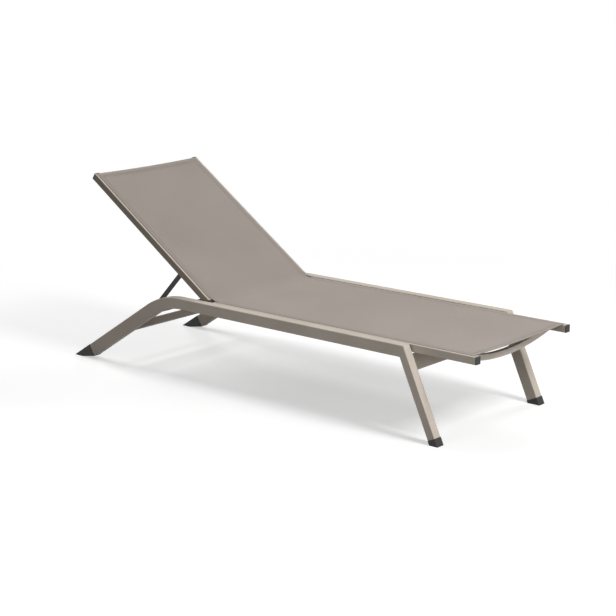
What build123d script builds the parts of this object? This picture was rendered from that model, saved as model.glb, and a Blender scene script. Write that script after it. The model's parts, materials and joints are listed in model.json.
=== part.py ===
from build123d import *
import math
import os

os.makedirs("parts", exist_ok=True)

# Adjustable sun lounger: two side frames with arched rear legs and raked front legs, a sling frame
# between them, and a backrest that a notched prop holds up.
# X runs to the foot end, Y to the sitter's left, Z up. Millimetres and degrees.
# The origin is on the floor, in the middle of the length and the width.

# Overall sizes
length = 2000.0
width = 650.0
frame_height = 331.0
recline = 34.2

# Side frames
tube_width = 35.0
tube_wall = 2.5
tube_round = 3.0
rail_height = 43.0
rear_leg_depth = 50.5
rear_leg_slope = 32.0
arch_radius = 283.0
front_foot_setback = 126.0
front_leg_tilt = 24.1
front_leg_depth = 31.6
front_leg_flare = 16.4

# Foot caps
rear_cap_least = 28.0
front_cap_least = 9.0
cap_step = 1.0
cap_plug = 26.0
cap_round = 3.0
sole_length = 45.0
heel_bevel = 10.0
plug_clearance = 0.2

# Cross members of the side frames
crossbar_wall = 2.0
rear_crossbar_up_leg = 330.0
rear_crossbar_height = 29.0
rear_crossbar_thickness = 25.0
front_crossbar_down_leg = 34.0
front_crossbar_height = 59.0
front_crossbar_thickness = 26.0
front_crossbar_setback = 15.0

# Sling frame
seat_length = 1243.0
back_length = 774.0
seat_drop = 2.0
side_gap = 6.5
sling_rail_width = 25.0
sling_rail_height = 27.5
sling_rail_wall = 2.0
sling_rail_round = 2.0
lip_width = 8.0
slot_width = 3.0
groove_radius = 4.0
groove_depth = 6.5
end_cap_thickness = 4.0
end_cap_plug = 18.0

# Bars between the sling rails, bowed away from the sling
bow_wall = 1.5
bow_height = 21.5
bow_thickness = 20.0
bow_round = 2.5
bow_end_rise = 1.5
bow_end_setback = 74.0
bow_middle_setback = 85.0
bow_drop = 43.25
spreader_radius = 8.5
spreader_end_drop = 3.0
seat_spreader_drop = 36.0
back_spreader_drop = 14.0
seat_spreader_first = 80.0
seat_spreader_pitch = 400.0
seat_spreaders = 3
back_spreader_first = 60.0
back_spreader_second = 398.0

# Sling
sling_thickness = 1.4
sling_sag = 5.0
sling_edge_setback = 17.0
sling_head_setback = 2.0
sling_clearance = 0.4
welt_radius = 3.2
welt_clearance = 0.2

# Recline hinge
hinge_end_gap = 16.0
hinge_clearance = 0.5
hinge_pin_radius = 4.0
pin_clearance = 0.05
pin_head_radius = 7.0
pin_head = 2.0
hinge_plate = 3.0
hinge_plate_reach = 66.0
hinge_bolt_first = 32.0
hinge_bolt_pitch = 24.0

# Fasteners
bolt_radius = 3.0
bolt_clearance = 0.2
bolt_head_radius = 5.0
bolt_head = 2.5
spacer_radius = 8.0
spacer_bolt_grip = 8.0
spacer_first = 110.0
spacer_corner_setback = 70.0
spacers_each_side = 3

# Prop and its racks
prop_pivot_along = 203.0
prop_pivot_drop = 24.0
prop_foot_reach = 364.0
prop_foot_drop = 92.5
prop_fold_ratio = 1.2
prop_arm_width = 20.0
prop_arm_thickness = 5.0
prop_arm_round = 1.5
prop_lug_width = 24.0
prop_lug_length = 44.0
foot_bar_radius = 6.5
foot_bar_wall = 1.5
foot_sleeve_radius = 9.0
foot_sleeve_length = 10.0
foot_end_gap = 2.5
rack_thickness = 12.0
rack_body = 9.0
rack_clearance = 0.8
rack_lead_angle = 4.5
notch_depth = 3.0
notch_floor = 13.0
notch_mouth = 19.0
notch_angle = 11.0
notches = 4
rack_screw_head = 1.5
overrun = 5.0


# Places that several pieces share, seen from the side as x and z
slope = math.radians(rear_leg_slope)
tilt = math.radians(front_leg_tilt)
toe_x = -length / 2 + cap_step / math.sin(slope)
foot_x = length / 2 - front_foot_setback
corner_x = foot_x - frame_height * math.tan(tilt)
under_rail = frame_height - rail_height
mitre_x = corner_x + rail_height * math.tan(tilt) - front_leg_depth / math.cos(tilt)
inner_half = width / 2 - tube_width
rail_outer = inner_half - side_gap
rail_inner = rail_outer - sling_rail_width
rail_middle = rail_outer - sling_rail_width / 2
seat_top = frame_height - seat_drop
seat_z = seat_top - sling_rail_height / 2
hinge_x = length / 2 - seat_length
side_middle = width / 2 - tube_width / 2
front_leg_inner_depth = front_leg_depth + front_leg_flare
slot_across = rail_outer - lip_width - slot_width / 2
bolt_z = seat_z - sling_rail_height / 2 + (sling_rail_height - groove_depth - groove_radius) / 2


def save(name, *solids):
    shape = solids[0] if len(solids) == 1 else Compound(children=list(solids))
    export_step(shape, "parts/" + name + ".step")


def side_name(side):
    return "left" if side > 0 else "right"


def seen_from_side(points):
    return make_face(Polyline(*[(x, 0, z) for x, z in points], close=True))


def across(face, thick):
    return extrude(face, amount=thick / 2, dir=(0, 1, 0), both=True)


# Rounds the edges that are longer than the least length given
def round_long_edges(solid, least, radius):
    return fillet([edge for edge in solid.edges() if edge.length > least], radius)


# A round bar that runs across, from one y to another
def cross_rod(x, z, start, end, radius):
    rod = Cylinder(radius, abs(end - start))
    return Pos(x, (start + end) / 2, z) * Rot(90, 0, 0) * rod


# Everything under the floor, to trim the foot caps level
def under_floor():
    return Box(2 * length, 2 * width, frame_height, align=(Align.CENTER, Align.CENTER, Align.MAX))


# Everything under a plane that rises from the end of the rear sole toward the heel
def under_heel():
    return Pos(toe_x + sole_length, 0, 0) * Rot(0, -heel_bevel, 0) * under_floor()


# Side frames

def leg_frame():
    up = (math.cos(slope), 0, math.sin(slope))
    return Plane(origin=(toe_x, 0, 0), x_dir=(math.sin(slope), 0, -math.cos(slope)), z_dir=up)


rear_cut = rear_leg_depth / math.tan(slope) + rear_cap_least


def side_outline():
    foot = leg_frame()
    leg_top = foot.from_local_coords(Vector(0, 0, rear_cut))
    leg_under = foot.from_local_coords(Vector(rear_leg_depth, 0, rear_cut))
    bend_x = toe_x + frame_height / math.tan(slope)
    under_bend_x = toe_x + rear_leg_depth / math.sin(slope) + under_rail / math.tan(slope)
    outline = seen_from_side([
        (leg_top.X, leg_top.Z),
        (bend_x, frame_height),
        (corner_x, frame_height),
        (mitre_x, under_rail),
        (under_bend_x, under_rail),
        (leg_under.X, leg_under.Z),
    ])
    top_bend = outline.vertices().sort_by_distance((bend_x, 0, frame_height))[0]
    outline = fillet(top_bend, arch_radius + (rail_height + rear_leg_depth) / 2)
    under_bend = outline.vertices().sort_by_distance((under_bend_x, 0, under_rail))[0]
    return fillet(under_bend, arch_radius)


def spacer_places():
    last = corner_x - spacer_corner_setback
    first = hinge_x + spacer_first
    step = (last - first) / (spacers_each_side - 1)
    return [first + step * i for i in range(spacers_each_side)]


def side_frame(side):
    outline = side_outline()
    tube = round_long_edges(across(outline, tube_width), rear_leg_depth + tube_wall, tube_round)
    tube -= across(offset(outline, amount=-tube_wall), tube_width - 2 * tube_wall)
    mouth = Rectangle(rear_leg_depth - 2 * tube_wall, tube_width - 2 * tube_wall)
    opening = extrude(mouth, amount=cap_plug)
    tube -= leg_frame() * Pos(rear_leg_depth / 2, 0, rear_cut - overrun) * opening
    tube = Pos(0, side * side_middle, 0) * tube
    for x in spacer_places():
        wall_start = side * (inner_half - overrun)
        wall_end = side * (inner_half + tube_wall + overrun)
        tube -= cross_rod(x, bolt_z, wall_start, wall_end, bolt_radius + bolt_clearance)
    return tube


def rear_foot_cap(side):
    foot = leg_frame()
    proud = 2 * cap_step
    body = Box(rear_leg_depth + proud, tube_width + proud, rear_cut + rear_leg_depth,
               align=(Align.CENTER, Align.CENTER, Align.MAX))
    body = round_long_edges(body, rear_leg_depth + proud, cap_round)
    inside = 2 * (tube_wall + plug_clearance)
    plug = Box(rear_leg_depth - inside, tube_width - inside, cap_plug - overrun,
               align=(Align.CENTER, Align.CENTER, Align.MIN))
    cap = foot * Pos(rear_leg_depth / 2, 0, rear_cut) * (body + plug)
    cap -= under_floor()
    cap -= under_heel()
    return Pos(0, side * side_middle, 0) * cap


# The front leg is drawn down its own axis from the corner where it meets the rail

def front_leg_frame():
    down = (math.sin(tilt), 0, -math.cos(tilt))
    return Plane(origin=(corner_x, 0, frame_height), x_dir=(math.cos(tilt), 0, math.sin(tilt)), z_dir=down)


front_cut = (frame_height - front_leg_inner_depth * math.sin(tilt)) / math.cos(tilt) - front_cap_least


def front_leg_section(side, grow):
    # The drawing plane's y runs to the sitter's right
    outer = -side * tube_width / 2
    section = make_face(Polyline((0, outer), (0, -outer), (-front_leg_inner_depth, -outer),
                                 (-front_leg_depth, outer), close=True))
    if grow:
        section = offset(section, amount=grow, kind=Kind.INTERSECTION)
    if grow >= 0:
        section = fillet(section.vertices(), cap_round if grow else tube_round)
    return section


def front_leg(side):
    place = front_leg_frame()
    leg = place * Pos(0, 0, -rail_height) * extrude(front_leg_section(side, 0), amount=front_cut + rail_height)
    bore_top = rail_height + tube_wall
    bore = extrude(front_leg_section(side, -tube_wall), amount=front_cut - bore_top + overrun)
    leg -= place * Pos(0, 0, bore_top) * bore
    rail_space = seen_from_side([
        (mitre_x, under_rail),
        (corner_x, frame_height),
        (2 * corner_x - mitre_x, 2 * frame_height - under_rail),
        (corner_x - 2 * rail_height, 2 * frame_height - under_rail),
        (corner_x - 2 * rail_height, under_rail),
    ])
    leg -= across(rail_space, 2 * tube_width)
    return Pos(0, side * side_middle, 0) * leg


def front_foot_cap(side):
    place = front_leg_frame() * Pos(0, 0, front_cut)
    cap = place * extrude(front_leg_section(side, cap_step), amount=2 * front_leg_inner_depth)
    plug_length = cap_plug - overrun
    inside = -(tube_wall + plug_clearance)
    plug = extrude(front_leg_section(side, inside), amount=plug_length)
    cap += place * Pos(0, 0, -plug_length) * plug
    cap -= under_floor()
    return Pos(0, side * side_middle, 0) * cap


# A rectangular tube that runs between the two side frames
def crossbar(place, thick, high):
    section = Plane.XZ * RectangleRounded(thick, high, tube_round)
    section -= Plane.XZ * Rectangle(thick - 2 * crossbar_wall, high - 2 * crossbar_wall)
    return place * across(section, 2 * inner_half)


def rear_crossbar():
    middle = leg_frame() * Pos(rear_leg_depth / 2, 0, rear_crossbar_up_leg)
    return crossbar(middle, rear_crossbar_height, rear_crossbar_thickness)


def front_crossbar():
    back = -front_crossbar_setback - front_crossbar_thickness / 2
    along = front_crossbar_down_leg + front_crossbar_height / 2
    return crossbar(front_leg_frame() * Pos(back, 0, along), front_crossbar_thickness, front_crossbar_height)


# Sling rails, drawn lying flat; x_start and x_end run along the rail

def rail_section(side):
    low = -sling_rail_height / 2
    high = sling_rail_height / 2
    section = RectangleRounded(sling_rail_width, sling_rail_height, sling_rail_round)
    chamber_high = sling_rail_height - groove_depth - groove_radius - 2 * sling_rail_wall
    chamber = Rectangle(sling_rail_width - 2 * sling_rail_wall, chamber_high, align=(Align.CENTER, Align.MIN))
    section -= Pos(0, low + sling_rail_wall) * chamber
    groove_x = side * (slot_across - rail_middle)
    section -= Pos(groove_x, high - groove_depth) * Circle(groove_radius)
    slot = Rectangle(slot_width, groove_depth + overrun, align=(Align.CENTER, Align.MIN))
    section -= Pos(groove_x, high - groove_depth) * slot
    return section


def sling_rail(side, x_start, x_end):
    section = Plane.YZ * rail_section(side)
    return Pos(x_start, side * rail_middle, seat_z) * extrude(section, amount=x_end - x_start)


def rail_chamber_plug(side, x_start, x_end):
    chamber_high = sling_rail_height - groove_depth - groove_radius - 2 * sling_rail_wall
    wide = sling_rail_width - 2 * sling_rail_wall - 2 * plug_clearance
    plug = Box(x_end - x_start, wide, chamber_high - 2 * plug_clearance, align=(Align.MIN, Align.CENTER, Align.MIN))
    low = seat_z - sling_rail_height / 2 + sling_rail_wall + plug_clearance
    return Pos(x_start, side * rail_middle, low) * plug


def end_cap(side, x_face, outward):
    section = Plane.YZ * RectangleRounded(sling_rail_width, sling_rail_height, sling_rail_round)
    plate = Pos(x_face, side * rail_middle, seat_z) * extrude(section, amount=outward * end_cap_thickness)
    far = plate.faces().sort_by(Axis.X)[-1 if outward > 0 else 0]
    plate = fillet(far.edges(), sling_rail_round / 2)
    ends = sorted([x_face, x_face - outward * end_cap_plug])
    return plate + rail_chamber_plug(side, ends[0], ends[1])


seat_start = hinge_x + hinge_end_gap
seat_end = length / 2 - end_cap_thickness
back_start = hinge_x - hinge_end_gap
back_end = hinge_x - back_length + end_cap_thickness


def hinge_bolt_places():
    return [hinge_x + hinge_bolt_first, hinge_x + hinge_bolt_first + hinge_bolt_pitch]


def seat_rail(side):
    rail = sling_rail(side, seat_start, seat_end)
    for x in spacer_places() + hinge_bolt_places():
        start = side * (rail_inner - overrun)
        rail -= cross_rod(x, bolt_z, start, side * (rail_outer + overrun), bolt_radius + bolt_clearance)
    return rail


def back_rail(side):
    return sling_rail(side, back_end, back_start)


# Bowed bars between the sling rails

def bowed_bar(end, middle, outer, inner):
    reach = rail_inner + overrun
    path = ThreePointArc((end[0], -reach, end[1]), (middle[0], 0, middle[1]), (end[0], reach, end[1]))
    start = Plane(origin=path @ 0, x_dir=(1, 0, 0), z_dir=path % 0)
    bar = sweep(start * outer, path=path) - sweep(start * inner, path=path)
    around = 2 * (bow_drop + bow_middle_setback + bow_thickness)
    return bar & (Pos(end[0], 0, end[1]) * Box(around, 2 * rail_inner, around))


def spreader(x, drop):
    low = seat_z - spreader_end_drop
    return bowed_bar((x, low), (x, low - drop), Circle(spreader_radius), Circle(spreader_radius - bow_wall))


def seat_spreader(i):
    return spreader(hinge_x + seat_spreader_first + seat_spreader_pitch * i, seat_spreader_drop)


def end_bow(rail_tip, outward):
    end_z = seat_z + bow_end_rise
    end = (rail_tip - outward * bow_end_setback, end_z)
    middle = (rail_tip - outward * bow_middle_setback, end_z - bow_drop)
    outer = RectangleRounded(bow_thickness, bow_height, bow_round)
    inner = Rectangle(bow_thickness - 2 * bow_wall, bow_height - 2 * bow_wall)
    return bowed_bar(end, middle, outer, inner)


# Sling sheet with its edges turned down into the rail slots, and the welts that hold them

def sling_sheet(x_start, x_end):
    low = seat_top + sling_clearance
    high = low + sling_thickness
    under = ThreePointArc((-rail_inner, low), (0, low - sling_sag), (rail_inner, low))
    over = ThreePointArc((rail_inner, high), (0, high - sling_sag), (-rail_inner, high))
    edges = [under, Line((rail_inner, low), (rail_inner, high)), over, Line((-rail_inner, high), (-rail_inner, low))]
    sheet = make_face(edges)
    tab_low = seat_top - groove_depth + groove_radius - welt_clearance
    for side in (-1, 1):
        tab_edge = slot_across + sling_thickness / 2
        flat = Rectangle(tab_edge - rail_inner, sling_thickness)
        sheet += Pos(side * (tab_edge + rail_inner) / 2, (low + high) / 2) * flat
        tab = Rectangle(sling_thickness, high - tab_low)
        sheet += Pos(side * slot_across, (high + tab_low) / 2) * tab
    return Pos(x_start, 0, 0) * extrude(Plane.YZ * sheet, amount=x_end - x_start)


def welts(x_start, x_end):
    z = seat_top - groove_depth + groove_radius - welt_clearance - welt_radius
    rod = Rot(0, 90, 0) * Cylinder(welt_radius, x_end - x_start)
    return [Pos((x_start + x_end) / 2, side * slot_across, z) * rod for side in (-1, 1)]


sling_front = length / 2 - sling_edge_setback
sling_fold_gap = hinge_end_gap + hinge_clearance
sling_head = hinge_x - back_length + end_cap_thickness + sling_head_setback
welt_inset = hinge_end_gap + overrun


# Recline hinge: plates on both faces of each seat rail, a knuckle in the end of each back rail

def hinge_plates(side):
    plates = []
    for face_y in (rail_inner - hinge_plate / 2, rail_outer + hinge_plate / 2):
        nose = sling_rail_height / 2 - hinge_clearance
        plate = Cylinder(nose, hinge_plate, rotation=(90, 0, 0))
        plate += Box(hinge_plate_reach, hinge_plate, 2 * nose, align=(Align.MIN, Align.CENTER, Align.CENTER))
        plate = Pos(hinge_x, side * face_y, seat_z) * plate
        start = side * (face_y - hinge_plate)
        end = side * (face_y + hinge_plate)
        plate -= cross_rod(hinge_x, seat_z, start, end, hinge_pin_radius + pin_clearance)
        for x in hinge_bolt_places():
            plate -= cross_rod(x, bolt_z, start, end, bolt_radius + bolt_clearance)
        plates.append(plate)
    return plates


def hinge_knuckle(side):
    nose = sling_rail_height / 2 - hinge_clearance
    wide = sling_rail_width - 2 * hinge_clearance
    knuckle = Cylinder(nose, wide, rotation=(90, 0, 0))
    knuckle += Box(hinge_end_gap, wide, 2 * nose, align=(Align.MAX, Align.CENTER, Align.CENTER))
    knuckle = Pos(hinge_x, side * rail_middle, seat_z) * knuckle
    knuckle += rail_chamber_plug(side, back_start - end_cap_plug, back_start)
    bore = hinge_pin_radius + pin_clearance
    return knuckle - cross_rod(hinge_x, seat_z, side * rail_inner, side * rail_outer, bore)


# A rod with a head at both ends: shank from start to end, heads outside them
def headed_pin(x, z, start, end, radius, head_radius, head):
    sign = 1 if end > start else -1
    pin = cross_rod(x, z, start, end, radius)
    pin += cross_rod(x, z, start - sign * head, start, head_radius)
    return pin + cross_rod(x, z, end, end + sign * head, head_radius)


def hinge_pin(side):
    start = side * (rail_inner - hinge_plate)
    end = side * (rail_outer + hinge_plate)
    return headed_pin(hinge_x, seat_z, start, end, hinge_pin_radius, pin_head_radius, pin_head)


def hinge_bolts():
    start = rail_inner - hinge_plate
    end = rail_outer + hinge_plate
    places = [(side, x) for side in (-1, 1) for x in hinge_bolt_places()]
    return [headed_pin(x, bolt_z, side * start, side * end, bolt_radius, bolt_head_radius, bolt_head)
            for side, x in places]


# Spacers and bolts that carry the seat rails between the side frames

def frame_spacers():
    spacers = []
    for side in (-1, 1):
        for x in spacer_places():
            ring = cross_rod(x, bolt_z, side * rail_outer, side * inner_half, spacer_radius)
            spacers.append(ring - cross_rod(x, bolt_z, side * rail_inner, side * side_middle,
                                            bolt_radius + bolt_clearance))
    return spacers


def frame_bolts():
    bolts = []
    for side in (-1, 1):
        for x in spacer_places():
            start = side * rail_inner
            shank = cross_rod(x, bolt_z, start, side * (inner_half + spacer_bolt_grip), bolt_radius)
            bolts.append(shank + cross_rod(x, bolt_z, start - side * bolt_head, start, bolt_head_radius))
    return bolts


# Prop: its places follow the recline, so the racks can be cut under its path

def back_point(along, off, angle):
    a = math.radians(angle)
    x = hinge_x - along * math.cos(a) + off * math.sin(a)
    z = seat_z + along * math.sin(a) + off * math.cos(a)
    return x, z


pivot_x, pivot_z = back_point(prop_pivot_along, -prop_pivot_drop, recline)
foot_bar_x = hinge_x - prop_foot_reach
foot_bar_z = seat_z - prop_foot_drop
prop_length = math.hypot(foot_bar_x - pivot_x, foot_bar_z - pivot_z)
prop_angle = math.degrees(math.atan2(foot_bar_z - pivot_z, foot_bar_x - pivot_x))


def foot_place(angle):
    x, z = back_point(prop_pivot_along, -prop_pivot_drop, angle)
    swing = math.radians(prop_angle + (1 - prop_fold_ratio) * (recline - angle))
    return x + prop_length * math.cos(swing), z + prop_length * math.sin(swing)


arm_outer = rail_inner - hinge_plate - hinge_clearance
arm_inner = arm_outer - prop_arm_thickness


def prop_arm(side):
    arm = Box(prop_length, prop_arm_thickness, prop_arm_width)
    arm = Pos(prop_length / 2, 0, 0) * arm
    arm += Cylinder(prop_arm_width / 2, prop_arm_thickness, rotation=(90, 0, 0))
    arm += Pos(prop_length, 0, 0) * Cylinder(prop_arm_width / 2, prop_arm_thickness, rotation=(90, 0, 0))
    arm = round_long_edges(arm, prop_arm_width, prop_arm_round)
    arm = Pos(pivot_x, side * (arm_inner + arm_outer) / 2, pivot_z) * Rot(0, -prop_angle, 0) * arm
    start = side * (arm_inner - overrun)
    end = side * (arm_outer + overrun)
    arm -= cross_rod(pivot_x, pivot_z, start, end, hinge_pin_radius + pin_clearance)
    return arm - cross_rod(foot_bar_x, foot_bar_z, start, end, foot_bar_radius + pin_clearance)


def prop_foot_bar():
    reach = inner_half - foot_end_gap
    bar = cross_rod(foot_bar_x, foot_bar_z, -reach, reach, foot_bar_radius)
    return bar - cross_rod(foot_bar_x, foot_bar_z, -width, width, foot_bar_radius - foot_bar_wall)


def foot_sleeves():
    sleeves = []
    for side in (-1, 1):
        end = inner_half - foot_end_gap
        sleeve = cross_rod(foot_bar_x, foot_bar_z, side * (end - foot_sleeve_length), side * end, foot_sleeve_radius)
        sleeves.append(sleeve - cross_rod(foot_bar_x, foot_bar_z, side * arm_outer, side * width,
                                          foot_bar_radius + pin_clearance))
    return sleeves


def prop_lug(side):
    lug_top = sling_rail_height / 2 - sling_rail_wall
    lug = Box(prop_lug_length, hinge_plate, lug_top, align=(Align.CENTER, Align.CENTER, Align.MIN))
    lug += Box(prop_lug_length, hinge_plate, sling_rail_height / 2, align=(Align.CENTER, Align.CENTER, Align.MAX))
    lug += Box(prop_lug_width, hinge_plate, prop_pivot_drop, align=(Align.CENTER, Align.CENTER, Align.MAX))
    lug += Pos(0, 0, -prop_pivot_drop) * Cylinder(prop_lug_width / 2, hinge_plate, rotation=(90, 0, 0))
    lug = Pos(hinge_x - prop_pivot_along, side * (rail_inner - hinge_plate / 2), seat_z) * lug
    pin_z = seat_z - prop_pivot_drop
    lug -= cross_rod(hinge_x - prop_pivot_along, pin_z, side * (rail_inner - 2 * hinge_plate),
                     side * (rail_inner + hinge_plate), hinge_pin_radius + pin_clearance)
    return lug


def lug_rivets():
    rivets = []
    for side in (-1, 1):
        for step in (-1, 1):
            x = hinge_x - prop_pivot_along + step * (prop_lug_length - prop_lug_width / 2) / 2
            face = side * (rail_inner - hinge_plate)
            rivets.append(cross_rod(x, seat_z, face - side * sling_rail_wall, face, bolt_radius))
    return rivets


def prop_pins():
    return [headed_pin(pivot_x, pivot_z, side * arm_inner, side * rail_inner, hinge_pin_radius,
                       pin_head_radius, pin_head) for side in (-1, 1)]


# Racks: a row of shallow notches that follow the path of the foot bar

foot_under = foot_sleeve_radius + rack_clearance
notch_angles = [recline + notch_angle * i for i in range(notches)]


# A place under the path, square to it, and moved along it towards the hinge
def under_path(angle, depth, along=0.0):
    x, z = foot_place(angle)
    ahead_x, ahead_z = foot_place(angle + rack_lead_angle)
    behind_x, behind_z = foot_place(angle - rack_lead_angle)
    run = math.hypot(ahead_x - behind_x, ahead_z - behind_z)
    unit_x = (ahead_x - behind_x) / run
    unit_z = (ahead_z - behind_z) / run
    return x + unit_z * depth + unit_x * along, z - unit_x * depth + unit_z * along


def rack_outline():
    first = recline - rack_lead_angle
    last = notch_angles[-1] + rack_lead_angle
    floor = foot_under + notch_depth
    top = [under_path(first, foot_under)]
    for angle in notch_angles:
        top.append(under_path(angle, foot_under, -notch_mouth / 2))
        top.append(under_path(angle, floor, -notch_floor / 2))
        top.append(under_path(angle, floor, notch_floor / 2))
        top.append(under_path(angle, foot_under, notch_mouth / 2))
    top.append(under_path(last, foot_under))
    return top + [under_path(angle, floor + rack_body) for angle in [last] + notch_angles[::-1] + [first]]


def rack_screw_places():
    depth = foot_under + (notch_depth + rack_body) / 2
    middles = (notch_angles[0] + notch_angle / 2, notch_angles[-1] - notch_angle / 2)
    return [under_path(angle, depth) for angle in middles]


def rack(side):
    block = across(seen_from_side(rack_outline()), rack_thickness)
    block = Pos(0, side * (inner_half - rack_thickness / 2), 0) * block
    start = side * (inner_half - rack_thickness - overrun)
    for x, z in rack_screw_places():
        block -= cross_rod(x, z, start, side * (inner_half + overrun), bolt_radius + bolt_clearance)
    return block


def rack_screws():
    screws = []
    for side in (-1, 1):
        for x, z in rack_screw_places():
            face = side * (inner_half - rack_thickness)
            shank = cross_rod(x, z, face, side * inner_half, bolt_radius)
            screws.append(shank + cross_rod(x, z, face - side * rack_screw_head, face, bolt_head_radius))
    return screws


# The backrest is drawn lying flat and raised about the hinge
def raised(shape):
    return Pos(hinge_x, 0, seat_z) * Rot(0, recline, 0) * Pos(-hinge_x, 0, -seat_z) * shape


for side in (-1, 1):
    name = side_name(side)
    save("side_frame_" + name, side_frame(side))
    save("front_leg_" + name, front_leg(side))
    save("rear_foot_cap_" + name, rear_foot_cap(side))
    save("front_foot_cap_" + name, front_foot_cap(side))
    save("seat_rail_" + name, seat_rail(side))
    save("seat_end_cap_" + name, end_cap(side, seat_end, 1))
    save("back_rail_" + name, raised(back_rail(side)))
    save("back_end_cap_" + name, raised(end_cap(side, back_end, -1)))
    save("hinge_plates_" + name, *hinge_plates(side))
    save("hinge_knuckle_" + name, raised(hinge_knuckle(side)))
    save("hinge_pin_" + name, hinge_pin(side))
    save("prop_lug_" + name, raised(prop_lug(side)))
    save("prop_arm_" + name, prop_arm(side))
    save("rack_" + name, rack(side))

save("rear_crossbar", rear_crossbar())
save("front_crossbar", front_crossbar())
save("front_bow_bar", end_bow(length / 2, 1))
save("head_bow_bar", raised(end_bow(hinge_x - back_length, -1)))
for i in range(seat_spreaders):
    save("seat_spreader_" + str(i + 1), seat_spreader(i))
save("back_spreader_1", raised(spreader(hinge_x - back_spreader_first, back_spreader_drop)))
save("back_spreader_2", raised(spreader(hinge_x - back_spreader_second, back_spreader_drop)))
save("hinge_bolts", *hinge_bolts())
save("frame_spacers", *frame_spacers())
save("frame_bolts", *frame_bolts())
save("rack_screws", *rack_screws())
save("lug_rivets", *[raised(rivet) for rivet in lug_rivets()])
save("prop_pins", *prop_pins())
save("prop_foot_bar", prop_foot_bar())
save("prop_foot_sleeves", *foot_sleeves())
save("sling_seat", sling_sheet(hinge_x + sling_fold_gap, sling_front))
save("sling_back", raised(sling_sheet(sling_head, hinge_x - sling_fold_gap)))
save("seat_welts", *welts(hinge_x + welt_inset, sling_front))
save("back_welts", *[raised(welt) for welt in welts(sling_head, hinge_x - welt_inset)])
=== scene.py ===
import json
import math

import bmesh
import bpy
from mathutils import Matrix, Vector


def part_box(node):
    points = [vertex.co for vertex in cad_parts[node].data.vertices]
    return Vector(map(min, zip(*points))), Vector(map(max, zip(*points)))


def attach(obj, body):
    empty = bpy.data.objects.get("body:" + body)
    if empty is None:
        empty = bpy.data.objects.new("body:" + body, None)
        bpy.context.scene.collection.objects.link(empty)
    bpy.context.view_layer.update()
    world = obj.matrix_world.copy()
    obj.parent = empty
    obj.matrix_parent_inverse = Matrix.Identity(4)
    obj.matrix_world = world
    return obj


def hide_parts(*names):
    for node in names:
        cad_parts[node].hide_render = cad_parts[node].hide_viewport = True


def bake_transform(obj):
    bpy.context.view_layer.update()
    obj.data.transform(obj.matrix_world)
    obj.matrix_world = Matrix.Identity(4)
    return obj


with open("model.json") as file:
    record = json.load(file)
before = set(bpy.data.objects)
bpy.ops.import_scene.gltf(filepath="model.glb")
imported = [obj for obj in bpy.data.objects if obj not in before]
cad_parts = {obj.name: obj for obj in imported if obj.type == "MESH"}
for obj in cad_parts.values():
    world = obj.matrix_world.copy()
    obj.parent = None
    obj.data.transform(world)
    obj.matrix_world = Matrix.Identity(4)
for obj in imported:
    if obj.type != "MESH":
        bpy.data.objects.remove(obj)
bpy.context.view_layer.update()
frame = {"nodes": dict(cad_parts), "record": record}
nodes = frame["nodes"]
hinges = {joint["name"]: Vector(joint["pos_m"]) for joint in frame["record"]["behaviour"]["joints"]}
print("frame loaded:", len(nodes), "parts")

# Camera, aimed as the photograph was taken; degrees and metres
cameraView = {"azimuth": 41.811, "elevation": 13.847, "roll": -0.727, "distance": 6.9,
              "aim": (-0.5040, 0.5692, 0.1009), "lens": 93.161, "sensor": 36.0}


def makeCamera(view):
    azimuth, elevation, roll = (math.radians(view[k]) for k in ("azimuth", "elevation", "roll"))
    back = Vector((math.sin(azimuth) * math.cos(elevation), -math.cos(azimuth) * math.cos(elevation),
                   math.sin(elevation)))
    right = Vector((0, 0, 1)).cross(back).normalized()
    up = back.cross(right)
    tiltedRight = right * math.cos(roll) + up * math.sin(roll)
    tiltedUp = up * math.cos(roll) - right * math.sin(roll)
    data = bpy.data.cameras.new("camera")
    data.sensor_fit = "HORIZONTAL"
    data.sensor_width = view["sensor"]
    data.lens = view["lens"]
    data.clip_end = 100
    camera = bpy.data.objects.new("camera", data)
    place = Matrix((tiltedRight, tiltedUp, back)).transposed().to_4x4()
    place.translation = Vector(view["aim"]) + back * view["distance"]
    camera.matrix_world = place
    bpy.context.scene.collection.objects.link(camera)
    bpy.context.scene.camera = camera


makeCamera(cameraView)
print("camera ready")


# Node maths as plain expressions on sockets
class Sock:
    def __init__(self, tree, socket):
        self.tree = tree
        self.socket = socket

    def maths(self, kind, *others, clamp=False):
        return mathNode(self.tree, kind, (self, *others), clamp)

    def __add__(self, other):
        return self.maths("ADD", other)

    def __sub__(self, other):
        return self.maths("SUBTRACT", other)

    def __mul__(self, other):
        return self.maths("MULTIPLY", other)

    def __truediv__(self, other):
        return self.maths("DIVIDE", other)

    def __pow__(self, other):
        return self.maths("POWER", other)

    def __rsub__(self, other):
        return mathNode(self.tree, "SUBTRACT", (other, self))

    def __rtruediv__(self, other):
        return mathNode(self.tree, "DIVIDE", (other, self))

    def __rpow__(self, other):
        return mathNode(self.tree, "POWER", (other, self))

    __radd__ = __add__
    __rmul__ = __mul__

    def sine(self):
        return self.maths("SINE")

    def size(self):
        return self.maths("ABSOLUTE")

    def least(self, other):
        return self.maths("MINIMUM", other)

    def most(self, other):
        return self.maths("MAXIMUM", other)

    def between(self, low, high):
        # 0 at low and 1 at high, held there beyond them
        return ((self - low) / (high - low)).maths("ADD", 0, clamp=True)


def mathNode(tree, kind, values, clamp=False):
    made = tree.nodes.new("ShaderNodeMath")
    made.operation = kind
    made.use_clamp = clamp
    for place, value in enumerate(values):
        plug(tree, made.inputs[place], value)
    return Sock(tree, made.outputs[0])


def plug(tree, socket, value):
    if isinstance(value, Sock):
        tree.links.new(value.socket, socket)
    elif isinstance(value, list):
        for item in value:
            tree.links.new(item.socket, socket)
    elif socket.type == "RGBA" and len(value) == 3:
        socket.default_value = (*value, 1)
    else:
        socket.default_value = value


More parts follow.
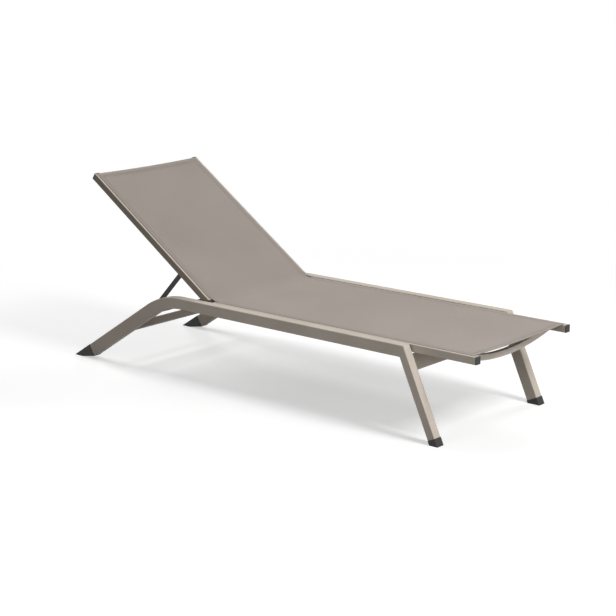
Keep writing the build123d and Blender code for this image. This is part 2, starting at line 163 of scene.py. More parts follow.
class Board:
    # one tree of nodes; every node but the maths comes from here
    def __init__(self, tree):
        self.tree = tree

    def node(self, kind, settings=None, inputs=None, output=0):
        made = self.tree.nodes.new(kind)
        for key, value in (settings or {}).items():
            setattr(made, key, value)
        for key, value in (inputs or {}).items():
            plug(self.tree, made.inputs[key], value)
        if isinstance(output, tuple):
            return [Sock(self.tree, made.outputs[key]) for key in output]
        return Sock(self.tree, made.outputs[output]) if len(made.outputs) else None

    def combine(self, x, y, z):
        return self.node("ShaderNodeCombineXYZ", inputs={0: x, 1: y, 2: z})


class Bench(Board):
    # one material and its nodes
    def __init__(self, name):
        self.material = bpy.data.materials.new(name)
        self.material.use_nodes = True
        super().__init__(self.material.node_tree)
        self.tree.nodes.clear()

    def place(self, output="Object"):
        return self.node("ShaderNodeTexCoord", output=output)

    def split(self, vector):
        return self.node("ShaderNodeSeparateXYZ", inputs={0: vector}, output=("X", "Y", "Z"))

    def noise(self, where, scale, detail=2.0, rough=0.5, span=None):
        # a tuple as scale stretches it, and a span of its values is drawn out to 0 and 1
        if isinstance(scale, tuple):
            where, scale = self.node("ShaderNodeMapping", inputs={"Vector": where, "Scale": scale}), 1.0
        made = self.node("ShaderNodeTexNoise", inputs={"Vector": where, "Scale": scale, "Detail": detail,
                                                       "Roughness": rough})
        return made.between(*span) if span else made

    def mix(self, factor, first, second):
        return self.node("ShaderNodeMix", {"data_type": "RGBA"}, {0: factor, 6: first, 7: second}, 2)

    def bump(self, height, strength, distance):
        return self.node("ShaderNodeBump", inputs={"Height": height, "Strength": strength,
                                                   "Distance": distance})

    def shade(self, **inputs):
        sockets = {key.replace("_", " "): value for key, value in inputs.items()}
        self.finish(self.node("ShaderNodeBsdfPrincipled", inputs=sockets))
        return self.material

    def finish(self, shader):
        self.node("ShaderNodeOutputMaterial", inputs={"Surface": shader})


def colour(red, green, blue):
    # written as it looks on a screen, 0 to 255
    def plain(level):
        level = level / 255
        return level / 12.92 if level <= 0.04045 else ((level + 0.055) / 1.055) ** 2.4
    return (plain(red), plain(green), plain(blue))


# Powder coat on the aluminium: a fine sparkle, orange peel, faint rubbed patches, dust by the floor, and
# painted shade on the upright sides of the backrest rails.
# A noise is its scale, detail, roughness and span.
paintLook = {"body": (191, 180, 167), "pale": (202, 192, 180), "rubbed": (218, 210, 200),
             "dust": (160, 152, 142), "flankShade": (136, 127, 114), "flankShadeSpeck": (154, 144, 131),
             "sparkleNoise": (1400, 1.0), "sparkleSpan": (0.35, 0.7), "sparkleShare": 0.4,
             "driftNoise": (5.0, 3.0, 0.5, (0.35, 0.65)), "driftShare": 0.6,
             "rubbedNoise": ((6, 60, 60), 4.0, 0.65, (0.56, 0.8)), "rubbedShare": 0.25,
             "dustNoise": (34, 4.0, 0.7, (0.3, 0.7)), "dustHigh": 0.07, "dustShare": 0.5,
             "peelNoise": (420, 2.0), "peel": 0.00006, "peelShare": 0.35, "shine": 0.2,
             "roughness": 0.5, "roughSparkle": 0.12, "roughRubbed": 0.1, "roughDust": 0.2,
             "flankShadeFacing": (0.75, 0.95)}


def makePaint(name, flankShade=False):
    look = paintLook
    bench = Bench(name)
    where = bench.place()
    sparkle = bench.noise(where, *look["sparkleNoise"])
    glints = sparkle.between(*look["sparkleSpan"])
    drift = bench.noise(where, *look["driftNoise"])
    rubbed = bench.noise(where, *look["rubbedNoise"])
    dust = 1 - bench.split(where)[2].between(0, look["dustHigh"])
    dust = dust * bench.noise(where, *look["dustNoise"])
    base = bench.mix(drift * look["driftShare"] + glints * look["sparkleShare"], colour(*look["body"]),
                     colour(*look["pale"]))
    base = bench.mix(rubbed * look["rubbedShare"], base, colour(*look["rubbed"]))
    base = bench.mix(dust * look["dustShare"], base, colour(*look["dust"]))
    # painted shade on the upright sides of the backrest rails
    if flankShade:
        base = paintFlankShade(bench, base, glints)
    rough = (look["roughness"] + sparkle * look["roughSparkle"] - rubbed * look["roughRubbed"]
             + dust * look["roughDust"])
    peel = bench.bump(bench.noise(where, *look["peelNoise"]), look["peelShare"], look["peel"])
    return bench.shade(Base_Color=base, Roughness=rough, Specular_IOR_Level=look["shine"], Normal=peel)


def paintFlankShade(bench, base, glints):
    # painted shade: the backrest rails' upright sides, facing along y, are painted darker to stand in for
    # the shade they are in
    normal = bench.node("ShaderNodeNewGeometry", output="True Normal")
    shadedSide = bench.split(normal)[1].size().between(*paintLook["flankShadeFacing"])
    return bench.mix(shadedSide, base, bench.mix(glints, colour(*paintLook["flankShade"]),
                                              colour(*paintLook["flankShadeSpeck"])))


framePaint = makePaint("framePaint")
railPaint = makePaint("railPaint", flankShade=True)

# Dark coat on the prop and the hinge plates, worn a little toward bare metal
propLook = {"body": (46, 44, 42), "drift": (62, 60, 57), "worn": (104, 100, 95),
            "grainNoise": (900, 2.0), "grainShare": 0.5, "grain": 0.00005, "bumpShare": 0.3,
            "wornNoise": (46, 5.0, 0.7, (0.6, 0.78)), "wornShare": 0.5, "metallic": 0.5,
            "roughness": 0.38, "roughGrain": 0.15, "roughWorn": 0.1}


def makeDarkMetal():
    look = propLook
    bench = Bench("propMetal")
    where = bench.place()
    grain = bench.noise(where, *look["grainNoise"])
    worn = bench.noise(where, *look["wornNoise"])
    base = bench.mix(grain * look["grainShare"], colour(*look["body"]), colour(*look["drift"]))
    base = bench.mix(worn * look["wornShare"], base, colour(*look["worn"]))
    rough = look["roughness"] + grain * look["roughGrain"] - worn * look["roughWorn"]
    return bench.shade(Base_Color=base, Metallic=look["metallic"], Roughness=rough,
                       Normal=bench.bump(grain, look["bumpShare"], look["grain"]))


propMetal = makeDarkMetal()

# Blackened zinc on bolts, pins, screws and rivets, with the fine rings of the lathe
steelLook = {"body": (122, 120, 117), "dark": (84, 82, 79), "ringNoise": ((1200, 120, 1200), 2.0),
             "ring": 0.00003, "ringShare": 0.2, "stainNoise": (160, 4.0, 0.7, (0.5, 0.75)),
             "stainShare": 0.5, "roughness": 0.34, "roughRing": 0.15}


def makeSteel():
    look = steelLook
    bench = Bench("zincSteel")
    where = bench.place()
    rings = bench.noise(where, *look["ringNoise"])
    stain = bench.noise(where, *look["stainNoise"])
    base = bench.mix(stain * look["stainShare"], colour(*look["body"]), colour(*look["dark"]))
    rough = look["roughness"] + rings * look["roughRing"]
    return bench.shade(Base_Color=base, Metallic=1.0, Roughness=rough,
                       Normal=bench.bump(rings, look["ringShare"], look["ring"]))


zincSteel = makeSteel()

# Moulded plastic of the caps, knuckles, sleeves and racks: a spark-eroded grain with scuffs
plasticLook = {"body": (36, 35, 34), "cloud": (45, 44, 42), "scuff": (72, 70, 67), "pits": 900,
               "pit": 0.00012, "pitShare": 0.4, "cloudNoise": (38, 4.0, 0.6), "cloudSpan": (0.3, 0.7),
               "scuffNoise": ((30, 90, 160), 5.0, 0.7, (0.6, 0.75)), "scuffShare": 0.4, "shine": 0.38,
               "roughness": 0.55, "roughCloud": 0.12, "roughPit": 0.1}


def makePlastic():
    look = plasticLook
    bench = Bench("blackPlastic")
    where = bench.place()
    pits = bench.node("ShaderNodeTexVoronoi", {"feature": "F1"}, {"Vector": where, "Scale": look["pits"]})
    cloud = bench.noise(where, *look["cloudNoise"])
    scuff = bench.noise(where, *look["scuffNoise"])
    base = bench.mix(cloud.between(*look["cloudSpan"]), colour(*look["body"]), colour(*look["cloud"]))
    base = bench.mix(scuff * look["scuffShare"], base, colour(*look["scuff"]))
    rough = look["roughness"] + cloud * look["roughCloud"] - pits * look["roughPit"]
    return bench.shade(Base_Color=base, Roughness=rough, Specular_IOR_Level=look["shine"],
                       Normal=bench.bump(pits, look["pitShare"], look["pit"]))


blackPlastic = makePlastic()


def nodeMaterial(name):
    if name.startswith("back_rail"):
        return railPaint
    if name.startswith(("prop_arm", "prop_foot_bar", "prop_lug", "hinge_plates")):
        return propMetal
    if any(word in name for word in ("bolt", "screw", "rivet", "pin")):
        return zincSteel
    if any(word in name for word in ("cap", "welts", "knuckle", "sleeve", "spacer", "rack")):
        return blackPlastic
    return framePaint


def dress(piece, material):
    piece.data.materials.clear()
    piece.data.materials.append(material)


for name, node in nodes.items():
    dress(node, nodeMaterial(name))
print("materials on", len(nodes), "parts")

# The sling: one cloth from the foot end over the hinge to the head; metres and degrees.
# The rim and tuck are shares of the edge and the tab: columns on the rail, and down into its slot.
railLow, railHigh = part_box("seat_rail_left")
slingShape = {"front": 0.983, "head": 0.768, "recline": 34.2, "lift": 0.0011, "sag": 0.005,
              "hem": 0.026, "hemRow": 0.0006, "seam": 0.0065, "edge": 0.0095, "tab": 0.0035,
              "thin": 0.0011, "thick": 0.0018, "step": 0.012, "column": 0.0135,
              "fold": 0.026, "free": 0.0205, "bends": 12, "blend": 0.03, "rim": (-0.15, 0.4, 0.95),
              "tuck": ((0.65, 0.0), (0.25, 0.09), (0.06, 0.29), (0.0, 0.57), (0.0, 1.0)),
              "lastColumn": 1.3}
slingTop = railHigh.z + slingShape["lift"]
slingInner = railLow.y
slingSlot = railHigh.y - slingShape["edge"]
slingSeam = slingInner - slingShape["seam"]
hingePlace = Vector((hinges["recline"].x, 0, hinges["recline"].z))
slingTurn = math.radians(slingShape["recline"])
backWay = Vector((-math.cos(slingTurn), 0, math.sin(slingTurn)))
backUp = Vector((math.sin(slingTurn), 0, math.cos(slingTurn)))


def hemmedRuns(end, start):
    # even rows from start to end, and two close rows where the hem's second layer stops
    rows = round((end - start) / slingShape["step"])
    runs = [end - row * (end - start) / rows for row in range(rows + 1)]
    stop = end - slingShape["hem"]
    kept = [run for run in runs if abs(run - stop) > slingShape["step"] / 2]
    half = slingShape["hemRow"]
    return sorted(kept + [stop - half, stop + half], reverse=True)


def slingStations():
    # places along the cloth's middle line, from the foot edge to the head
    shape = slingShape
    rise = slingTop - hingePlace.z
    up = Vector((0, 0, 1))
    seatWay = Vector((1, 0, 0))
    front = shape["front"] - hingePlace.x
    places = [hingePlace + seatWay * run + up * rise for run in hemmedRuns(front, shape["fold"])]
    seatEnd = places[-1]
    backStart = hingePlace + backWay * shape["fold"] + backUp * rise
    corner = hingePlace + (up + backUp).normalized() * rise / math.cos(slingTurn / 2)
    for k in range(1, shape["bends"]):
        t = k / shape["bends"]
        places.append(seatEnd * (1 - t) ** 2 + corner * 2 * t * (1 - t) + backStart * t ** 2)
    backRuns = reversed(hemmedRuns(shape["head"], shape["fold"]))
    return places + [hingePlace + backWay * run + backUp * rise for run in backRuns]


slingPlaces = slingStations()
slingRuns = [0.0]
for before, after in zip(slingPlaces, slingPlaces[1:]):
    slingRuns.append(slingRuns[-1] + (after - before).length)
slingLength = slingRuns[-1]


def slingNormal(row):
    way = slingPlaces[min(row + 1, len(slingPlaces) - 1)] - slingPlaces[max(row - 1, 0)]
    return Vector((way.z, 0, -way.x)).normalized()


def slingPoint(row, y, height=0.0):
    sag = slingShape["sag"] * max(0.0, 1 - (y / slingInner) ** 2)
    return slingPlaces[row] + slingNormal(row) * (height - sag) + Vector((0, y, 0))


def slingColumns():
    # places across the cloth, from the middle out: y and how far the edge turns down into the slot
    shape = slingShape
    half = [(0.0, 0.0)]
    while half[-1][0] < slingSeam - shape["lastColumn"] * shape["column"]:
        half.append((half[-1][0] + shape["column"], 0.0))
    half += [(slingSeam - shape["hemRow"], 0.0), (slingSeam + shape["hemRow"], 0.0)]
    half += [(slingInner + share * shape["edge"], 0.0) for share in shape["rim"]]
    half += [(slingSlot - share * shape["tab"], shape["tab"] * drop) for share, drop in shape["tuck"]]
    return [(-y, drop) for y, drop in reversed(half[1:])] + half


def slingWidths(columns):
    # how far each column lies from the middle, measured over the cloth
    across = [0.0]
    for (y0, drop0), (y1, drop1) in zip(columns, columns[1:]):
        across.append(across[-1] + math.hypot(y1 - y0, drop1 - drop0))
    return [value - across[-1] / 2 for value in across]


slingAcross = slingColumns()
slingSpread = slingWidths(slingAcross)


def slingFree(row):
    # beside the hinge the rails have no slot, so the cloth stops at the slot's line
    middle = slingRuns[min(range(len(slingPlaces)), key=lambda k: (slingPlaces[k] - hingePlace).length)]
    return abs((slingRuns[row] + slingRuns[row + 1]) / 2 - middle) < slingShape["free"]


def makeSling():
    shape = slingShape
    bm = bmesh.new()
    uvLayer = bm.loops.layers.uv.new("cloth")
    hemLayer = bm.verts.layers.float.new("hemmed")
    grid = []
    for row, run in enumerate(slingRuns):
        line = [bm.verts.new(slingPoint(row, y, -drop)) for y, drop in slingAcross]
        for vert in line:
            endHem = not shape["hem"] < run < slingLength - shape["hem"]
            vert[hemLayer] = 1.0 if endHem or abs(vert.co.y) > slingSeam else 0.0
        grid.append(line)
    for row in range(len(grid) - 1):
        for col in range(len(slingAcross) - 1):
            outer = max(abs(slingAcross[col][0]), abs(slingAcross[col + 1][0]))
            if slingFree(row) and outer > slingInner + shape["edge"]:
                continue
            corners = ((row, col), (row, col + 1), (row + 1, col + 1), (row + 1, col))
            face = bm.faces.new([grid[r][c] for r, c in corners])
            face.smooth = True
            for loop, (r, c) in zip(face.loops, corners):
                loop[uvLayer].uv = (slingRuns[r], slingSpread[c])
    bmesh.ops.delete(bm, geom=[vert for vert in bm.verts if not vert.link_faces], context="VERTS")
    bm.normal_update()
    if sum(face.normal.z for face in bm.faces) < 0:
        bmesh.ops.reverse_faces(bm, faces=bm.faces)
    hemmed = [index for index, vert in enumerate(bm.verts) if vert[hemLayer] > 0.5]
    mesh = bpy.data.meshes.new("slingCloth")
    bm.to_mesh(mesh)
    bm.free()
    piece = bpy.data.objects.new("slingCloth", mesh)
    bpy.context.scene.collection.objects.link(piece)
    piece.vertex_groups.new(name="hem").add(hemmed, 1.0, "REPLACE")
    shell = piece.modifiers.new("shell", "SOLIDIFY")
    shell.thickness = shape["thick"]
    shell.offset = 0
    shell.vertex_group = "hem"
    shell.thickness_vertex_group = shape["thin"] / shape["thick"]
    flatten(piece)
    return piece


def flatten(piece):
    # the modifiers' result becomes the piece's plain mesh
    graph = bpy.context.evaluated_depsgraph_get()
    made = bpy.data.meshes.new_from_object(piece.evaluated_get(graph))
    old = piece.data
    piece.modifiers.clear()
    piece.data = made
    made.name = piece.name
    bpy.data.meshes.remove(old)


# Woven mesh: coated yarn over and under, small open windows, painted shade in the dips between the yarns,
# and double cloth at the hems
meshLook = {"yarn": (151, 141, 133), "pale": (166, 156, 148), "gap": (88, 81, 75),
            "hemShade": (119, 111, 104), "hemShare": 0.22, "pitch": 0.0014, "cross": 0.3,
            "window": 0.42, "windowEdge": 0.2, "open": 0.5, "dipShadeSpan": (0.1, 0.6), "dipShadeShare": 0.55,
            "shadeNoise": ((3, 3, 1), 3.0, 0.5, (0.3, 0.7)), "shadeShare": 0.5,
            "slubNoise": ((70, 900, 1), 2.0), "slubShare": 0.3, "relief": 0.0002, "reliefShare": 0.5,
            "roughness": 0.62, "roughDip": 0.2}


def makeMesh():
    look = meshLook
    bench = Bench("slingMesh")
    uv = bench.place("UV")
    along, across, _ = bench.split(uv)
    turn = math.pi / look["pitch"]
    warp = (across * turn).sine()
    weft = (along * turn).sine()
    over = (warp * weft).between(-look["cross"], look["cross"])
    ridge = over * warp.size() + (1 - over) * weft.size()
    clear = (1 - look["window"], 1 - look["window"] + look["windowEdge"])
    gap = (1 - warp.size()).between(*clear) * (1 - weft.size()).between(*clear)
    hem = slingShape["hem"]
    fromEnds = (along - hem).least((slingLength - hem) - along)
    hemEnds = 1 - fromEnds.between(0, slingShape["hemRow"])
    hemSides = across.size().between(slingSeam - slingShape["hemRow"], slingSeam)
    hemmed = hemEnds.most(hemSides)
    shade = bench.noise(uv, *look["shadeNoise"])
    slub = bench.noise(uv, *look["slubNoise"])
    base = bench.mix(shade * look["shadeShare"] + slub * look["slubShare"], colour(*look["yarn"]),
                     colour(*look["pale"]))
    # painted shade: where the yarns dip under, the colour goes toward the dark gap colour
    base = bench.mix((1 - ridge.between(*look["dipShadeSpan"])) * look["dipShadeShare"], base, colour(*look["gap"]))
    base = bench.mix(hemmed * look["hemShare"], base, colour(*look["hemShade"]))
    return bench.shade(Base_Color=base, Alpha=1 - gap * look["open"] * (1 - hemmed),
                       Roughness=look["roughness"] + (1 - ridge) * look["roughDip"],
                       Normal=bench.bump(ridge, look["reliefShare"], look["relief"]))


slingCloth = makeSling()
dress(slingCloth, makeMesh())
print("sling:", len(slingCloth.data.polygons), "faces, cut", round(slingLength, 4), "by",
      round(2 * slingSpread[-1], 4))


def joinCloth(piece):
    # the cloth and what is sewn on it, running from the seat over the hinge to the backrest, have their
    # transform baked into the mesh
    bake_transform(piece)


joinCloth(slingCloth)
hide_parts("sling_seat", "sling_back")


# Rows that repeat along a path, grown by geometry nodes
def startTree(name, labels, kind="Float"):
    tree = bpy.data.node_groups.new(name, "GeometryNodeTree")
    sockets = {"Path": "Geometry", **{label: kind for label in labels}, "Finish": "Material"}
    for label, socket in sockets.items():
        tree.interface.new_socket(label, in_out="INPUT", socket_type="NodeSocket" + socket)
    tree.interface.new_socket("Result", in_out="OUTPUT", socket_type="NodeSocketGeometry")
    board = Board(tree)
    return board, dict(zip(sockets, board.node("NodeGroupInput", output=tuple(sockets))))


def endTree(board, shapes, finish):
    real = board.node("GeometryNodeRealizeInstances", inputs={0: shapes})
    smooth = board.node("GeometryNodeSetShadeSmooth", inputs={0: real})
    painted = board.node("GeometryNodeSetMaterial", inputs={"Geometry": smooth, "Material": finish})
    board.node("NodeGroupOutput", inputs={0: painted})
    return board.tree


def grow(name, points, edges, tree, sizes, finish, facts=None):
    # points and edges carry the row; facts are values that each point holds
    mesh = bpy.data.meshes.new(name)
    mesh.from_pydata(points, edges, [])
    for label, values in (facts or {}).items():
        vector = isinstance(values[0], Vector)
        layer = mesh.attributes.new(label, "FLOAT_VECTOR" if vector else "FLOAT", "POINT")
        for item, value in zip(layer.data, values):
            if vector:
                item.vector = value
            else:
                item.value = value
    piece = bpy.data.objects.new(name, mesh)
    bpy.context.scene.collection.objects.link(piece)
    grower = piece.modifiers.new("grow", "NODES")
    grower.node_group = tree
    given = {**sizes, "Finish": finish}
    for item in tree.interface.items_tree:
        if item.in_out == "INPUT" and item.name in given:
            grower[item.identifier] = given[item.name]
    flatten(piece)
    return piece


def makeBeadTree():
    # rounded beads along a path, longer or shorter than they are wide
    board, given = startTree("beadRow", ("Pitch", "Long", "Wide", "High"))
    line = board.node("GeometryNodeMeshToCurve", inputs={0: given["Path"]})
    points, tangent = board.node("GeometryNodeCurveToPoints", {"mode": "LENGTH"},
                                 {"Curve": line, "Length": given["Pitch"]}, ("Points", "Tangent"))
    aligned = board.node("FunctionNodeAlignRotationToVector", {"axis": "X"}, {"Vector": tangent})
    bead = board.node("GeometryNodeMeshIcoSphere", inputs={"Radius": 0.5, "Subdivisions": 1})
    size = board.combine(given["Long"], given["Wide"], given["High"])
    beads = board.node("GeometryNodeInstanceOnPoints", inputs={"Points": points, "Instance": bead,
                                                               "Rotation": aligned, "Scale": size})
    return endTree(board, beads, given["Finish"])


beadRow = makeBeadTree()

# Sewing thread along the side seams and in two rows across each end hem
threadLook = {"body": (150, 142, 134), "dark": (112, 105, 98), "plyNoise": ((900, 2600, 2600), 1.0),
              "plySpan": (0.35, 0.65), "plyShare": 0.7, "soilNoise": (40, 3.0, 0.5, (0.4, 0.7)),
              "soilShare": 0.3, "roughness": 0.5, "roughPly": 0.2}
stitchShape = {"pitch": 0.0042, "long": 0.0034, "wide": 0.0009, "high": 0.0009, "sideIn": 0.003,
               "hemIn": (0.0045, 0.0105), "hemSteps": 36, "proud": 0.0010}


def makeThread():
    look = threadLook
    bench = Bench("sewingThread")
    where = bench.place()
    ply = bench.noise(where, *look["plyNoise"])
    soiled = bench.noise(where, *look["soilNoise"])
    base = bench.mix(ply.between(*look["plySpan"]) * look["plyShare"] + soiled * look["soilShare"],
                     colour(*look["body"]), colour(*look["dark"]))
    return bench.shade(Base_Color=base, Roughness=look["roughness"] + ply * look["roughPly"])


sewingThread = makeThread()


def slingAt(run, y, height):
    # any place on the cloth, between the rows it is made of
    row = next(k for k in range(len(slingRuns) - 1) if slingRuns[k + 1] >= run)
    t = (run - slingRuns[row]) / (slingRuns[row + 1] - slingRuns[row])
    return slingPoint(row, y, height).lerp(slingPoint(row + 1, y, height), t)


def chain(points, edges, line):
    # one more open path into the lists
    first = len(points)
    points += line
    edges += [(first + k, first + k + 1) for k in range(len(line) - 1)]


def beadSizes(shape):
    return {"Pitch": shape["pitch"], "Long": shape["long"], "Wide": shape["wide"], "High": shape["high"]}


def makeStitches():
    shape = stitchShape
    points, edges = [], []
    sideY = slingSeam + shape["sideIn"]
    for y in (-sideY, sideY):
        chain(points, edges, [slingPoint(row, y, shape["proud"]) for row in range(len(slingRuns))])
    hemStop = slingShape["hem"]
    steps = shape["hemSteps"]
    for inward in shape["hemIn"]:
        for run in (hemStop - inward, slingLength - hemStop + inward):
            ys = [-slingSeam + 2 * slingSeam * k / steps for k in range(steps + 1)]
            chain(points, edges, [slingAt(run, y, shape["proud"]) for y in ys])
    return grow("slingStitches", points, edges, beadRow, beadSizes(shape), sewingThread)


slingStitches = makeStitches()
joinCloth(slingStitches)
print("stitches:", len(slingStitches.data.polygons), "faces")

# Weld beads where the cross members meet the side frames and the sling rails
weldShape = {"pitch": 0.0013, "long": 0.0024, "wide": 0.0034, "high": 0.0034, "endDepth": 0.00002}
weldNodes = {"frame": ["rear_crossbar", "front_crossbar", "front_bow_bar", "seat_spreader_1",
                       "seat_spreader_2", "seat_spreader_3"],
             "backrest": ["head_bow_bar", "back_spreader_1", "back_spreader_2"]}


def hullLoop(corners):
    # the convex outline of points in x and z, in order
    corners = sorted({(round(x, 6), round(z, 6)) for x, z in corners})

    def half(order):
        kept = []
        for x, z in order:
            while len(kept) > 1 and ((kept[-1][0] - kept[-2][0]) * (z - kept[-2][1])
                                     - (kept[-1][1] - kept[-2][1]) * (x - kept[-2][0])) <= 0:
                kept.pop()
            kept.append((x, z))
        return kept[:-1]

    return half(corners) + half(corners[::-1])


def makeWelds(body):
    points, edges = [], []
    for name in weldNodes[body]:
        low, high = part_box(name)
        for face in (low.y, high.y):
            ends = [(vert.co.x, vert.co.z) for vert in nodes[name].data.vertices
                    if abs(vert.co.y - face) < weldShape["endDepth"]]
            loop = [Vector((x, face, z)) for x, z in hullLoop(ends)]
            chain(points, edges, loop + [loop[0]])
    piece = grow(body + "Welds", points, edges, beadRow, beadSizes(weldShape), framePaint)
    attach(piece, body)
    return piece


for body in weldNodes:
    print("welds:", body, len(makeWelds(body).data.polygons), "faces")

# Button heads with a hex socket, and domed rivets, in place of the plain fasteners
fastenerShape = {"sides": 24, "shankSides": 20, "socket": 0.36, "socketLip": 1.12, "socketTop": 0.97,
                 "socketDeep": 0.5, "rivetFlat": 0.35, "merge": 1e-6,
                 "dome": ((1.0, 0.0), (1.0, 0.35), (0.96, 0.62), (0.86, 0.82), (0.7, 0.95))}
fastenerNodes = {"hinge_bolts": {"heads": 2, "deep": 0.0025, "shank": 0.003, "socket": True},
                 "frame_bolts": {"heads": 1, "deep": 0.0025, "shank": 0.003, "socket": True},
                 "rack_screws": {"heads": 1, "deep": 0.0015, "shank": 0.003, "socket": True},
                 "lug_rivets": {"heads": 1, "deep": 0.0016, "shank": 0.0026, "socket": False}}


def roundRing(angles, radius, z):
    return [(radius * math.cos(a), radius * math.sin(a), z) for a in angles]


def hexRing(angles, apothem, z):
    # points of a hexagon, one at each angle
    sector = math.pi / 3
    radii = [apothem / math.cos((a + sector / 2) % sector - sector / 2) for a in angles]
    return [(radius * math.cos(a), radius * math.sin(a), z) for radius, a in zip(radii, angles)]


def headShape(socket):
    # a head of radius 1 and height 1 on the plane z = 0
    shape = fastenerShape
    sides = shape["sides"]
    angles = [2 * math.pi * k / sides for k in range(sides)]
    rings = [roundRing(angles, radius, z) for radius, z in shape["dome"]]
    if socket:
        rings += [hexRing(angles, shape["socket"] * shape["socketLip"], 1.0),
                  hexRing(angles, shape["socket"], shape["socketTop"]),
                  hexRing(angles, shape["socket"], shape["socketDeep"])]
    else:
        rings += [roundRing(angles, shape["rivetFlat"], 1.0)]
    bm = bmesh.new()
    made = [[bm.verts.new(place) for place in ring] for ring in rings]
    for inner, outer in zip(made, made[1:]):
        for k in range(sides):
            bm.faces.new((inner[k], inner[(k + 1) % sides], outer[(k + 1) % sides], outer[k]))
    bm.faces.new(made[-1])
    bm.faces.new(made[0][::-1])
    mesh = bpy.data.meshes.new("headShape")
    bm.to_mesh(mesh)
    bm.free()
    head = bpy.data.objects.new("headShape", mesh)
    bpy.context.scene.collection.objects.link(head)
    return head


def solidBoxes(name):
    # the low and high corner of each separate solid in a node, in one order at every run
    bm = bmesh.new()
    bm.from_mesh(nodes[name].data)
    bmesh.ops.remove_doubles(bm, verts=bm.verts, dist=fastenerShape["merge"])
    left = set(bm.verts)
    boxes = []
    while left:
        reached = [left.pop()]
        group = []
        while reached:
            vert = reached.pop()
            group.append(vert.co.copy())
            for edge in vert.link_edges:
                other = edge.other_vert(vert)
                if other in left:
                    left.remove(other)
                    reached.append(other)
        boxes.append(tuple(Vector([pick(place[axis] for place in group) for axis in range(3)])
                           for pick in (min, max)))
    bm.free()
    return sorted(boxes, key=lambda box: tuple(box[0]))


def makeFastenerTree():
    # a head on each point, facing the way that the point holds, and its shank behind it
    board, given = startTree("fastenerRow", ("Head",), "Object")

    def held(label, kind="FLOAT"):
        return board.node("GeometryNodeInputNamedAttribute", {"data_type": kind}, {"Name": label})

    way = held("way", "FLOAT_VECTOR")
    radius, deep, shank, reach = (held(label) for label in ("radius", "deep", "shank", "reach"))
    turned = board.node("FunctionNodeAlignRotationToVector", {"axis": "Z"}, {"Vector": way})
    head = board.node("GeometryNodeObjectInfo", inputs={"Object": given["Head"]}, output="Geometry")
    heads = board.node("GeometryNodeInstanceOnPoints", inputs={
        "Points": given["Path"], "Instance": head, "Rotation": turned,
        "Scale": board.combine(radius, radius, deep)})
    back = board.node("ShaderNodeVectorMath", {"operation": "SCALE"}, {0: way, "Scale": reach * -0.5})
    middles = board.node("GeometryNodeSetPosition", inputs={"Geometry": given["Path"], "Offset": back})
    rod = board.node("GeometryNodeMeshCylinder", inputs={
        "Vertices": fastenerShape["shankSides"], "Radius": 1.0, "Depth": 1.0})
    shanks = board.node("GeometryNodeInstanceOnPoints", inputs={
        "Points": middles, "Instance": rod, "Rotation": turned,
        "Scale": board.combine(shank, shank, reach)})
    both = board.node("GeometryNodeJoinGeometry", inputs={0: [heads, shanks]})
    return endTree(board, both, given["Finish"])


def makeFasteners(name, tree, head):
    sizes = fastenerNodes[name]
    points = []
    facts = {"way": [], "radius": [], "deep": [], "shank": [], "reach": []}
    for low, high in solidBoxes(name):
        middle = (low + high) / 2
        side = 1 if middle.y > 0 else -1
        inner, outer = (low.y, high.y) if side > 0 else (high.y, low.y)
        reach = abs(outer - inner) - sizes["heads"] * sizes["deep"]
        ends = [(inner + side * sizes["deep"], -side)]
        if sizes["heads"] == 2:
            ends.append((outer - side * sizes["deep"], side))
        for y, way in ends:
            points.append(Vector((middle.x, y, middle.z)))
            facts["way"].append(Vector((0, way, 0)))
            facts["radius"].append((high.x - low.x) / 2)
            facts["deep"].append(sizes["deep"])
            facts["shank"].append(sizes["shank"])
            facts["reach"].append(reach / sizes["heads"])
    made = grow(name + "Detailed", points, [], tree, {"Head": head}, zincSteel, facts)
    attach(made, "backrest" if name == "lug_rivets" else "frame")
    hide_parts(name)
    return made


fastenerRow = makeFastenerTree()
headShapes = {socket: headShape(socket) for socket in (True, False)}
for name, sizes in fastenerNodes.items():
    fastener = makeFasteners(name, fastenerRow, headShapes[sizes["socket"]])
    print("fasteners:", name, len(fastener.data.polygons), "faces")
for head in headShapes.values():
    bpy.data.objects.remove(head)

# Floor and light. The floor's paper and glow add up to white where no shadow falls.
studio = {"floor": 9.0, "paper": 0.63, "speckle": 0.01, "speckleNoise": (60, 2.0), "bounce": 0.3,
          "glow": 0.51, "clear": (1.6, 2.6), "world": 0.05}
lamps = {"foot": {"place": (4.0, -0.2, 3.6), "aim": (0.4, 0.0, 0.3), "size": (1.2, 1.4), "power": 161},
         "head": {"place": (-3.0, 0.2, 3.6), "aim": (0.2, 0.0, 0.3), "size": (2.6, 2.0), "power": 88},
         "far": {"place": (-0.3, 3.2, 3.2), "aim": (0.0, 0.0, 0.3), "size": (0.9, 0.9), "power": 32},
         "front": {"place": (3.6, 0.0, 0.6), "aim": (0.8, 0.0, 0.25), "size": (1.6, 0.9), "power": 25},
         "near": {"place": (0.5, -2.4, 0.9), "aim": (0.4, -0.3, 0.3), "size": (1.2, 1.0), "power": 9}}


def seenDirectly(board):
    # 1 for what the camera sees straight, in a reflection or through a clear thing
    camera, glossy, through = board.node("ShaderNodeLightPath", output=(
        "Is Camera Ray", "Is Glossy Ray", "Is Transmission Ray"))
    return camera.most(glossy).most(through)


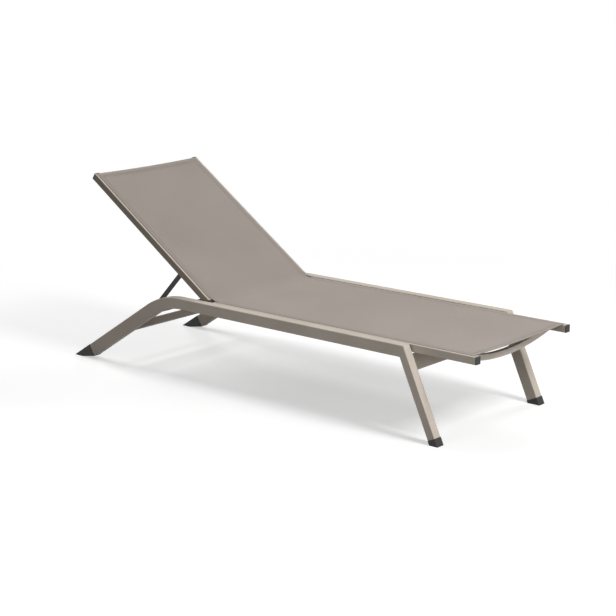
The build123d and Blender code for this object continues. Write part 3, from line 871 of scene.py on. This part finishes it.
def makeFloor():
    bench = Bench("floorPaper")
    where = bench.place()
    x, y, _ = bench.split(where)
    far = (((x * x) + (y * y)) ** 0.5).between(*studio["clear"])
    grain = bench.noise(where, *studio["speckleNoise"])
    paper = bench.node("ShaderNodeBsdfDiffuse", inputs={
        "Color": bench.mix(grain, (studio["paper"],) * 3, (studio["paper"] - studio["speckle"],) * 3)})
    bounce = bench.node("ShaderNodeBsdfDiffuse", inputs={"Color": (studio["bounce"],) * 3})
    glow = bench.node("ShaderNodeEmission", inputs={"Color": (1, 1, 1), "Strength": studio["glow"]})
    lit = bench.node("ShaderNodeAddShader", inputs={0: paper, 1: glow})
    white = bench.node("ShaderNodeEmission", inputs={"Color": (1, 1, 1), "Strength": 1.0})
    faded = bench.node("ShaderNodeMixShader", inputs={0: far, 1: lit, 2: white})
    bench.finish(bench.node("ShaderNodeMixShader", inputs={0: seenDirectly(bench), 1: bounce, 2: faded}))
    half = studio["floor"]
    mesh = bpy.data.meshes.new("floorSheet")
    corners = [(-half, -half, 0), (half, -half, 0), (half, half, 0), (-half, half, 0)]
    mesh.from_pydata(corners, [], [(0, 1, 2, 3)])
    mesh.materials.append(bench.material)
    floor = bpy.data.objects.new("floorSheet", mesh)
    bpy.context.scene.collection.objects.link(floor)


def makeWorld():
    world = bpy.data.worlds.new("studio")
    bpy.context.scene.world = world
    world.use_nodes = True
    world.node_tree.nodes.clear()
    board = Board(world.node_tree)
    strength = seenDirectly(board) * (1 - studio["world"]) + studio["world"]
    sky = board.node("ShaderNodeBackground", inputs={"Color": (1, 1, 1), "Strength": strength})
    board.node("ShaderNodeOutputWorld", inputs={"Surface": sky})


def makeLamp(name, lamp):
    data = bpy.data.lights.new(name, "AREA")
    data.shape = "RECTANGLE"
    data.size, data.size_y = lamp["size"]
    data.energy = lamp["power"]
    light = bpy.data.objects.new(name, data)
    light.location = lamp["place"]
    light.rotation_euler = (Vector(lamp["aim"]) - Vector(lamp["place"])).to_track_quat("-Z", "Y").to_euler()
    bpy.context.scene.collection.objects.link(light)


makeFloor()
makeWorld()
for name, lamp in lamps.items():
    makeLamp(name, lamp)
bpy.context.scene.view_settings.view_transform = "Standard"
print("studio ready")
